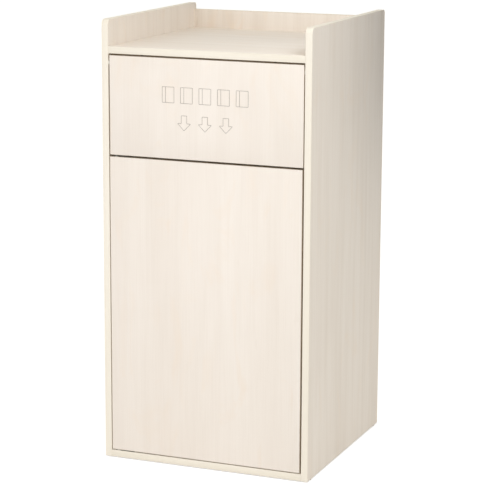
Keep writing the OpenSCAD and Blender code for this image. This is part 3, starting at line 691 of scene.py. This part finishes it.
# A tapered polyethylene bin: outside wall, rolled rim and inside wall in one skin.
def makeBin():
    low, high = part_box("bin")
    centre, half = (low + high) / 2, (high - low) / 2
    edge, deep = binShape["rimWidth"], binShape["rimWidth"] + binShape["taper"]
    wall, foot, top = binShape["wall"], low.z, high.z
    shoulder = top - binShape["shoulderDrop"]

    def outside(z):
        return deep - binShape["taper"] * (z - foot) / (top - foot)

    under = top - binShape["rimHeight"]
    # (inset from the rim's outermost face, height) of each ring, from the underside up the outside
    rings = [
        (deep + 34 * mm, foot + 5 * mm), (deep + 30 * mm, foot + 5 * mm), (deep + 27 * mm, foot + 1.5 * mm),
        (deep + 24 * mm, foot), (deep + 5 * mm, foot), (deep + 1.5 * mm, foot + 1.2 * mm),
        (deep + 0.4 * mm, foot + 4 * mm), (outside(foot + 9 * mm) + binShape["shoulderStep"], foot + 9 * mm),
        (outside(shoulder - 5 * mm) + binShape["shoulderStep"], shoulder - 5 * mm),
        (outside(shoulder - 3 * mm) + binShape["shoulderStep"], shoulder - 3 * mm),
        (outside(shoulder), shoulder), (outside(shoulder + 2 * mm), shoulder + 2 * mm),
        # the rolled rim: up under it, down to its lip, up its outer face and over
        (outside(top - 8 * mm), top - 8 * mm), (edge - 1 * mm, top - 4.5 * mm),
        (edge - 4 * mm, top - 3 * mm), (wall + 1 * mm, top - 3 * mm), (wall, top - 4 * mm),
        (wall, under + 0.6 * mm), (wall - 0.6 * mm, under), (0.6 * mm, under), (0, under + 0.6 * mm),
        (0, top - 5 * mm), (0.7 * mm, top - 2.4 * mm), (2.4 * mm, top - 0.7 * mm), (5 * mm, top),
        (edge - 2 * mm, top), (edge + 0.8 * mm, top - 0.8 * mm),
        # down the inside to the floor
        (edge + wall - 0.6 * mm, top - 3 * mm), (outside(top - 8 * mm) + wall, top - 8 * mm),
        (outside(shoulder + 2 * mm) + wall, shoulder + 2 * mm), (outside(shoulder) + wall, shoulder),
        (outside(shoulder - 4 * mm) + wall + binShape["shoulderStep"], shoulder - 4 * mm),
        (deep + wall + 0.6 * mm, foot + 14 * mm), (deep + wall + 3 * mm, foot + 6 * mm),
        (deep + wall + 9 * mm, foot + wall + 0.6 * mm), (deep + wall + 16 * mm, foot + wall),
    ]
    bm = bmesh.new()
    turn = bm.verts.layers.float.new("turn")
    bmesh.ops.create_circle(bm, cap_ends=True, segments=binShape["steps"], radius=1.0,
                            matrix=Matrix.Rotation(math.pi / binShape["steps"], 4, "Z"))
    for vert in bm.verts:
        vert[turn] = math.atan2(vert.co.y, vert.co.x)

    def place(verts, inset, z):
        radius = binShape["cornerRadius"] + max(edge - inset, 0) - max(inset - deep, 0) * 0.5
        for vert in verts:
            c, s = math.cos(vert[turn]), math.sin(vert[turn])
            reachX, reachY = half.x - inset - radius, half.y - inset - radius
            vert.co = (centre.x + math.copysign(reachX, c) + radius * c,
                       centre.y + math.copysign(reachY, s) + radius * s, z)

    place(bm.verts, *rings[0])
    loop = bm.edges[:]
    for inset, z in rings[1:]:
        made = bmesh.ops.extrude_edge_only(bm, edges=loop)["geom"]
        place([g for g in made if isinstance(g, bmesh.types.BMVert)], inset, z)
        loop = [g for g in made if isinstance(g, bmesh.types.BMEdge)]
    bmesh.ops.contextual_create(bm, geom=loop)
    return finishPiece("bin", bm, binPlastic, "cabinet", ["bin"],
                       binShape["smoothAngle"])


makeBin()
print("bin made")


# turned parts, screws and fittings

# Spins a profile of (distance from the axis, height) points about the axis of the matrix given.
def turned(bm, profile, place, steps=32):
    verts = [bm.verts.new((radius, 0, height)) for radius, height in profile]
    edges = [bm.edges.new(pair) for pair in zip(verts, verts[1:])]
    before = set(bm.verts) - set(verts)  # what the mesh already held
    bmesh.ops.spin(bm, geom=verts + edges, cent=(0, 0, 0), axis=(0, 0, 1), angle=2 * math.pi, steps=steps,
                   use_merge=True)
    made = [v for v in bm.verts if v not in before]
    bmesh.ops.remove_doubles(bm, verts=made, dist=1e-7)
    made = [v for v in bm.verts if v not in before]
    bmesh.ops.transform(bm, matrix=place, verts=made)
    bmesh.ops.recalc_face_normals(bm, faces=list({f for v in made for f in v.link_faces}))


# A matrix that puts the local origin at place and turns local +Z along direction.
def aimed(place, direction):
    return Matrix.Translation(place) @ Vector(direction).to_track_quat("Z", "Y").to_matrix().to_4x4()


screwShape = {
    "headRadius": 3.5 * mm,
    "shankRadius": 1.75 * mm,
    "sunk": 0.25 * mm,
    "rimHeight": 0.2 * mm,
    "point": 3.5 * mm,
    "clearance": 0.12 * mm,
    "slotLength": 4.2 * mm,
    "slotWidth": 0.8 * mm,
    "slotDepth": 1.5 * mm,
    "steps": 24,
}


# Half the section of a countersunk screw; spare widens it into the hole that the screw sits in.
def screwProfile(length, spare=0.0):
    head, shank = screwShape["headRadius"] + spare, screwShape["shankRadius"] + spare
    top = mm if spare else -screwShape["sunk"]
    rim = -screwShape["sunk"] - screwShape["rimHeight"]
    return [(0, top), (head - 0.2 * mm, top), (head, top - 0.1 * mm), (head, rim),
            (shank, rim - head + shank), (shank, screwShape["point"] - length), (0, -length - spare)]


# Countersunk screws with a cross recess, and the holes they sit in.
def makeScrews(name, node, body, places, direction, length, host, finish=(zinc, "steel")):
    bm = bmesh.new()
    turned(bm, screwProfile(length), Matrix.Identity(4), screwShape["steps"])
    one = meshObject("oneScrew", bm)
    long, wide, deep = screwShape["slotLength"] / 2, screwShape["slotWidth"] / 2, screwShape["slotDepth"]
    for x, y in ((long, wide), (wide, long)):
        slot = bmesh.new()
        addBlock(slot, (-x, -y, -deep), (x, y, mm))
        carve(one, meshObject("crossSlot", slot))
    screws, holes = bmesh.new(), bmesh.new()
    for place in places:
        matrix = aimed(place, direction)
        before = set(screws.verts)
        screws.from_mesh(one.data)
        bmesh.ops.transform(screws, matrix=matrix, verts=[v for v in screws.verts if v not in before])
        turned(holes, screwProfile(length, screwShape["clearance"]), matrix, screwShape["steps"])
    bpy.data.objects.remove(one)
    carve(host, meshObject("screwHoles", holes))
    return finishPiece(name, screws, finish[0], body, [node])


# Adds one mesh to another piece as a union.
def join(piece, other):
    merge = piece.modifiers.new("merge", "BOOLEAN")
    merge.operation, merge.solver, merge.object = "UNION", "EXACT", other
    merge.material_mode = "INDEX"
    settle(piece, other)


def spaced(count, first, last):
    return [first + i * (last - first) / (count - 1) for i in range(count)]


def centreOf(node):
    low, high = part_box(node)
    return (low + high) / 2


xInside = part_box("right_side_panel")[0].x

# back panel screws, sunk into the rear face at the heights of the two boards that they hold
backScrews = {"edge": 60 * mm, "count": 4, "length": 44 * mm}
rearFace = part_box("back_panel")[1].y
reach = xInside - backScrews["edge"]
makeScrews("backScrews", "back_screws", "cabinet",
           [(x, rearFace, z) for x in spaced(backScrews["count"], -reach, reach)
            for z in (centreOf("bottom_board").z, centreOf("tray_board").z)],
           (0, 1, 0), backScrews["length"], boards["backPanel"])

# cleat that stops the flap, with two bumpers
cleat = {"softness": 1.2 * mm, "edge": 50 * mm, "count": 4, "domeDrop": 0.7 * mm, "domeAngle": 50.0}
cleatLow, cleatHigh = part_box("flap_stop_cleat")
stopCleat = blockPiece("stopCleat", cleatLow, cleatHigh, cleat["softness"], beechAcross, "cabinet",
                       ["flap_stop_cleat"], "beech")
screwLow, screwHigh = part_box("cleat_screws")
makeScrews("cleatScrews", "cleat_screws", "cabinet",
           [(x, (cleatLow.y + cleatHigh.y) / 2, cleatLow.z)
            for x in spaced(cleat["count"], cleat["edge"] - xInside, xInside - cleat["edge"])],
           (0, 0, -1), screwHigh.z - screwLow.z, stopCleat)
bumperLow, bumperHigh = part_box("flap_bumpers")
bumperR, bumperH = (bumperHigh.z - bumperLow.z) / 2, bumperHigh.y - bumperLow.y
bm = bmesh.new()
for x in (bumperLow.x + bumperR, bumperHigh.x - bumperR):
    turned(bm, [(0, 0), (bumperR, 0), (bumperR, bumperH - 1.6 * mm),
                (bumperR - 0.5 * mm, bumperH - cleat["domeDrop"]), (bumperR - 1.7 * mm, bumperH - 0.15 * mm),
                (0, bumperH)],
           aimed((x, bumperHigh.y, (bumperLow.z + bumperHigh.z) / 2), (0, -1, 0)))
finishPiece("flapBumpers", bm, rubber, "cabinet", ["flap_bumpers"], cleat["domeAngle"])

# nylon bushes: each is a body let into a board, a bore and a flange
bushes = {"bore": 0.05 * mm, "wall": 2 * mm, "chamfer": 0.3 * mm, "endPlay": 0.4 * mm, "doorDepth": 14 * mm,
          "steps": 40}


# A bush whose seat is at place; the flange stands along direction and the body goes the other way.
def addBush(bm, place, direction, pinRadius, flangeRadius, flange, depth):
    bore = pinRadius + bushes["bore"]
    body, c = bore + bushes["wall"], min(bushes["chamfer"], flange / 2)
    turned(bm, [(bore, -depth), (body - c, -depth), (body, c - depth), (body, 0), (flangeRadius, 0),
                (flangeRadius, flange - c), (flangeRadius - c, flange), (bore + c, flange),
                (bore, flange - c), (bore, -depth)], aimed(place, direction), bushes["steps"])


low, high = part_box("flap_bushes")
pinLow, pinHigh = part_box("flap_pivot_pins")
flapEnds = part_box("flap_edge_band")
bm = bmesh.new()
for side, end in ((-1, flapEnds[0].x), (1, flapEnds[1].x)):
    addBush(bm, (side * xInside, (low.y + high.y) / 2, (low.z + high.z) / 2), (-side, 0, 0),
            (pinHigh.z - pinLow.z) / 2, (high.z - low.z) / 2,
            abs(side * xInside - end) - bushes["endPlay"], high.x - xInside)
finishPiece("flapBushes", bm, nylon, "cabinet", ["flap_bushes"])

low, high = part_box("door_bushes")
doorLow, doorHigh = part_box("door_edge_band")
pinLow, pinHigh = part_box("door_pivot_pins")
bm = bmesh.new()
for z, up, flange in ((doorLow.z, -1, doorLow.z - low.z), (doorHigh.z, 1, high.z - doorHigh.z)):
    addBush(bm, ((low.x + high.x) / 2, (low.y + high.y) / 2, z), (0, 0, up), (pinHigh.x - pinLow.x) / 2,
            (high.x - low.x) / 2, flange, bushes["doorDepth"])
finishPiece("doorBushes", bm, nylon, "door", ["door_bushes"])
print("cleat, bumpers and bushes made")

# pivot plates
plates = {"corner": 2.5 * mm, "cornerSteps": 5, "softness": 0.25 * mm, "letIn": 0.15 * mm}
# The pivot plates and door pins are blackened steel; their black also stands in as painted shade in the
# door's gaps.
pivotFinishGapShade = (blackSteelGapShade, "black_steel")


# A stamped plate with rounded corners; across is the axis square to its faces.
def platePiece(name, node, across, body, finish=pivotFinishGapShade):
    low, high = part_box(node)
    size = high - low
    size[across] = 0
    u, v = [Vector([size[i] if i == k else 0 for i in range(3)]) for k in range(3) if k != across]
    bm = bmesh.new()
    outlineFace(bm, [low, low + u, low + u + v, low + v], [plates["corner"]] * 4, plates["cornerSteps"])
    thicken(bm, Vector([high[i] - low[i] if i == across else 0 for i in range(3)]))
    soften(bm, [e for e in bm.edges if abs((e.verts[0].co - e.verts[1].co)[across]) < 1e-7],
           plates["softness"], 2)
    return finishPiece(name, bm, finish[0], body, [node])


pin = centreOf("door_bushes")
floorPlate = platePiece("floorPivotPlate", "floor_pivot_plate", 2, "cabinet")
topPlate = platePiece("topPivotPlate", "top_pivot_plate", 2, "cabinet")
low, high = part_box("floor_pivot_plate")
spare = Vector((plates["letIn"], plates["letIn"], 0))
bm = bmesh.new()
addBlock(bm, low - spare, high + spare + Vector((0, 0, mm)))
carve(boards["bottomBoard"], meshObject("plateSeat", bm))
plateScrews = {"floor": (16 * mm, -8 * mm), "top": (14 * mm, -8 * mm), "floorLength": 15 * mm,
               "topLength": 26 * mm}
makeScrews("floorPlateScrews", "pivot_plate_screws", "cabinet",
           [(x, pin.y, high.z) for x in (pin.x + plateScrews["floor"][0], high.x + plateScrews["floor"][1])],
           (0, 0, 1), plateScrews["floorLength"], floorPlate, pivotFinishGapShade)
low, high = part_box("top_pivot_plate")
makeScrews("topPlateScrews", "pivot_plate_screws", "cabinet",
           [(x, centreOf("catch_rail").y, high.z)
            for x in (pin.x + plateScrews["top"][0], high.x + plateScrews["top"][1])],
           (0, 0, 1), plateScrews["topLength"], topPlate, pivotFinishGapShade)

# magnetic catch and its strike
catch = {"ear": 11 * mm, "earThickness": 3 * mm, "softness": 0.8 * mm, "strikeScrews": 6 * mm}
low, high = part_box("catch_housing")
poleLow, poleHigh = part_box("catch_pole_plates")
bm = bmesh.new()
addBlock(bm, (low.x + catch["ear"], low.y, low.z), (high.x - catch["ear"], high.y, high.z),
         catch["softness"])
housing = finishPiece("catchHousing", bm, nylon, "cabinet", ["catch_housing"])
for x0, x1 in ((low.x, low.x + catch["ear"] + mm), (high.x - catch["ear"] - mm, high.x)):
    ears = bmesh.new()
    addBlock(ears, (x0, high.y - catch["earThickness"], low.z), (x1, high.y, high.z), catch["softness"])
    join(housing, meshObject("catchEar", ears))
bm = bmesh.new()
addBlock(bm, poleLow - Vector((0, mm, 0)), poleHigh)
carve(housing, meshObject("catchPocket", bm))
earScrews = [(x, high.y - catch["earThickness"], (low.z + high.z) / 2)
             for x in (low.x + catch["ear"] / 2, high.x - catch["ear"] / 2)]
screwLow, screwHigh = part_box("catch_screws")
makeScrews("catchScrews", "catch_screws", "cabinet", earScrews, (0, -1, 0), screwHigh.y - screwLow.y,
           housing)
strike = platePiece("strikePlate", "strike_plate", 1, "door", (zinc, "steel"))
low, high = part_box("strike_plate")
screwLow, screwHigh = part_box("strike_screws")
mid = centreOf("strike_plate")
makeScrews("strikeScrews", "strike_screws", "door",
           [(mid.x + step, high.y, mid.z) for step in (-catch["strikeScrews"], catch["strikeScrews"])],
           (0, 1, 0), screwHigh.y - screwLow.y, strike)

# bin guides
guides = {"softness": 1.5 * mm, "edge": 40 * mm, "count": 3}
low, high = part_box("bin_guides")
side = high.z - low.z
bm = bmesh.new()
for x0 in (low.x, high.x - side):
    addBlock(bm, (x0, low.y, low.z), (x0 + side, high.y, high.z), guides["softness"])
guidePair = finishPiece("binGuides", bm, beechDeep, "cabinet", ["bin_guides"])
screwLow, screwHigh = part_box("guide_screws")
makeScrews("guideScrews", "guide_screws", "cabinet",
           [(x, y, high.z) for x in (low.x + side / 2, high.x - side / 2)
            for y in spaced(guides["count"], low.y + guides["edge"], high.y - guides["edge"])],
           (0, 0, 1), screwHigh.z - screwLow.z, guidePair)

# glides: nailed plastic discs with a hollow round the nail's head
glides = {"radius": 9 * mm, "chamfer": 0.8 * mm, "hollow": 4 * mm, "hollowDepth": 1.2 * mm, "steps": 40}
low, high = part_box("floor_glides")
r, h = glides["radius"], high.z - low.z
bm = bmesh.new()
for x in (low.x + r, high.x - r):
    for y in (low.y + r, high.y - r):
        turned(bm, [(0, h), (r, h), (r, glides["chamfer"]), (r - glides["chamfer"], 0),
                    (glides["hollow"], 0), (glides["hollow"] - 0.6 * mm, glides["hollowDepth"] - 0.1 * mm),
                    (0, glides["hollowDepth"])], Matrix.Translation((x, y, low.z)), glides["steps"])
finishPiece("floorGlides", bm, glidePlastic, "cabinet", ["floor_glides"])
print("fittings made")

# CAD nodes that keep their own shape and get a better material
for node, material, slotName in (
        ("carcass_dowels", beechAcross, "beech"), ("back_dowels", beechAcross, "beech"),
        ("flap_pivot_pins", zinc, "steel"), ("door_pivot_pins", blackSteelGapShade, "black_steel"),
        ("glide_nails", zinc, "steel"), ("catch_magnet", ferrite, "magnet"),
        ("catch_pole_plates", zinc, "steel")):
    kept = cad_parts[node]
    for held in kept.material_slots:
        held.material = material


# stage, camera and light

stage = {
    "floorSize": 40.0,
    "floorColour": (0.93, 0.93, 0.93, 1),
    "floorLift": 0.42,            # light that only the camera sees, so the paper shows white
    "skyLight": (0.70, 0.685, 0.645, 1),
    "backdrop": (1.0, 1.0, 1.0, 1),
    "flagColour": (0.02, 0.02, 0.02, 1),
    "flagLow": (0.75, 0.15, 0.8),     # dark cloth that shades the rear of the right side
    "flagHigh": (0.76, 1.5, 2.2),
}


def stageMaterial(name, colour, lift):
    sockets = {"Specular IOR Level": 0.05, "Base Color": colour}
    material, tree, shader, place = startMaterial(name, 0.95, sockets)
    if lift:
        rays = addNode(tree, "ShaderNodeLightPath")
        shader.inputs["Emission Color"].default_value = (1, 1, 1, 1)
        seen = maths(tree, "MULTIPLY", rays.outputs["Is Camera Ray"], lift)
        wire(tree, seen, shader.inputs["Emission Strength"])
    return material


bm = bmesh.new()
bmesh.ops.create_grid(bm, x_segments=1, y_segments=1, size=stage["floorSize"] / 2)
floor = meshObject("studioFloor", bm)
floor.data.materials.append(stageMaterial("studioPaper", stage["floorColour"], stage["floorLift"]))
bm = bmesh.new()
addBlock(bm, stage["flagLow"], stage["flagHigh"])
flag = meshObject("shadeFlag", bm)
flag.data.materials.append(stageMaterial("flagCloth", stage["flagColour"], 0))
flag.visible_camera = False

world = bpy.data.worlds.new("studio")
scene.world = world
world.use_nodes = True
tree = world.node_tree
background = next(n for n in tree.nodes if n.type == "BACKGROUND")
rays = addNode(tree, "ShaderNodeLightPath")
sky = mixColours(tree, rays.outputs["Is Camera Ray"], stage["skyLight"], stage["backdrop"])
wire(tree, sky, background.inputs["Color"])

cameraView = {
    "place": (2.029, -5.022, 1.712),
    "yaw": math.radians(22.11),
    "pitch": math.radians(11.83),
    "roll": math.radians(0.25),
    "lens": 145.95,
    "sensor": 36,
    "reach": 100,
}
camera = bpy.data.objects.new("camera", bpy.data.cameras.new("camera"))
scene.collection.objects.link(camera)
camera.data.sensor_width = cameraView["sensor"]
camera.data.lens = cameraView["lens"]
camera.data.clip_end = cameraView["reach"]
yaw, pitch, roll = cameraView["yaw"], cameraView["pitch"], cameraView["roll"]
forward = Vector((-math.sin(yaw) * math.cos(pitch), math.cos(yaw) * math.cos(pitch), -math.sin(pitch)))
level = Vector((math.cos(yaw), math.sin(yaw), 0))
upright = level.cross(forward)
right = level * math.cos(roll) + upright * math.sin(roll)
up = upright * math.cos(roll) - level * math.sin(roll)
turn = Matrix((right, up, -forward)).transposed().to_4x4()
camera.matrix_world = Matrix.Translation(cameraView["place"]) @ turn
scene.camera = camera

centre = (boxLow + boxHigh) / 2
lights = {
    "keyLight": {"place": (-2.1, -4.0, 2.7), "target": centre, "size": (3.0, 3.0), "power": 25.5,
                 "colour": (0.985, 1.0, 1.05)},
    "fillLight": {"place": (-1.6, -4.0, 0.3), "target": (-0.1, -0.3, 0.35), "size": (2.2, 0.6),
                  "power": 21.0, "colour": (0.95, 1.0, 1.19)},
    "topLight": {"place": (0.3, -0.8, 3.6), "target": centre, "size": (2.0, 2.0), "power": 5.0,
                 "colour": (1.0, 1.0, 1.0)},
    "sideLight": {"place": (1.6, -1.2, 2.6), "target": (-0.25, -0.1, 1.15), "size": (1.0, 1.0),
                  "power": 20.0, "colour": (0.95, 1.0, 1.07)},
}


def addLight(name, place, target, size, power, colour):
    light = bpy.data.lights.new(name, "AREA")
    light.shape, light.size, light.size_y = "RECTANGLE", size[0], size[1]
    light.energy, light.color = power, colour
    lamp = bpy.data.objects.new(name, light)
    scene.collection.objects.link(lamp)
    lamp.location = place
    lamp.rotation_euler = (Vector(target) - Vector(place)).to_track_quat("-Z", "Y").to_euler()


for name, given in lights.items():
    addLight(name, **given)
scene.view_settings.view_transform = "Standard"
print("stage ready")
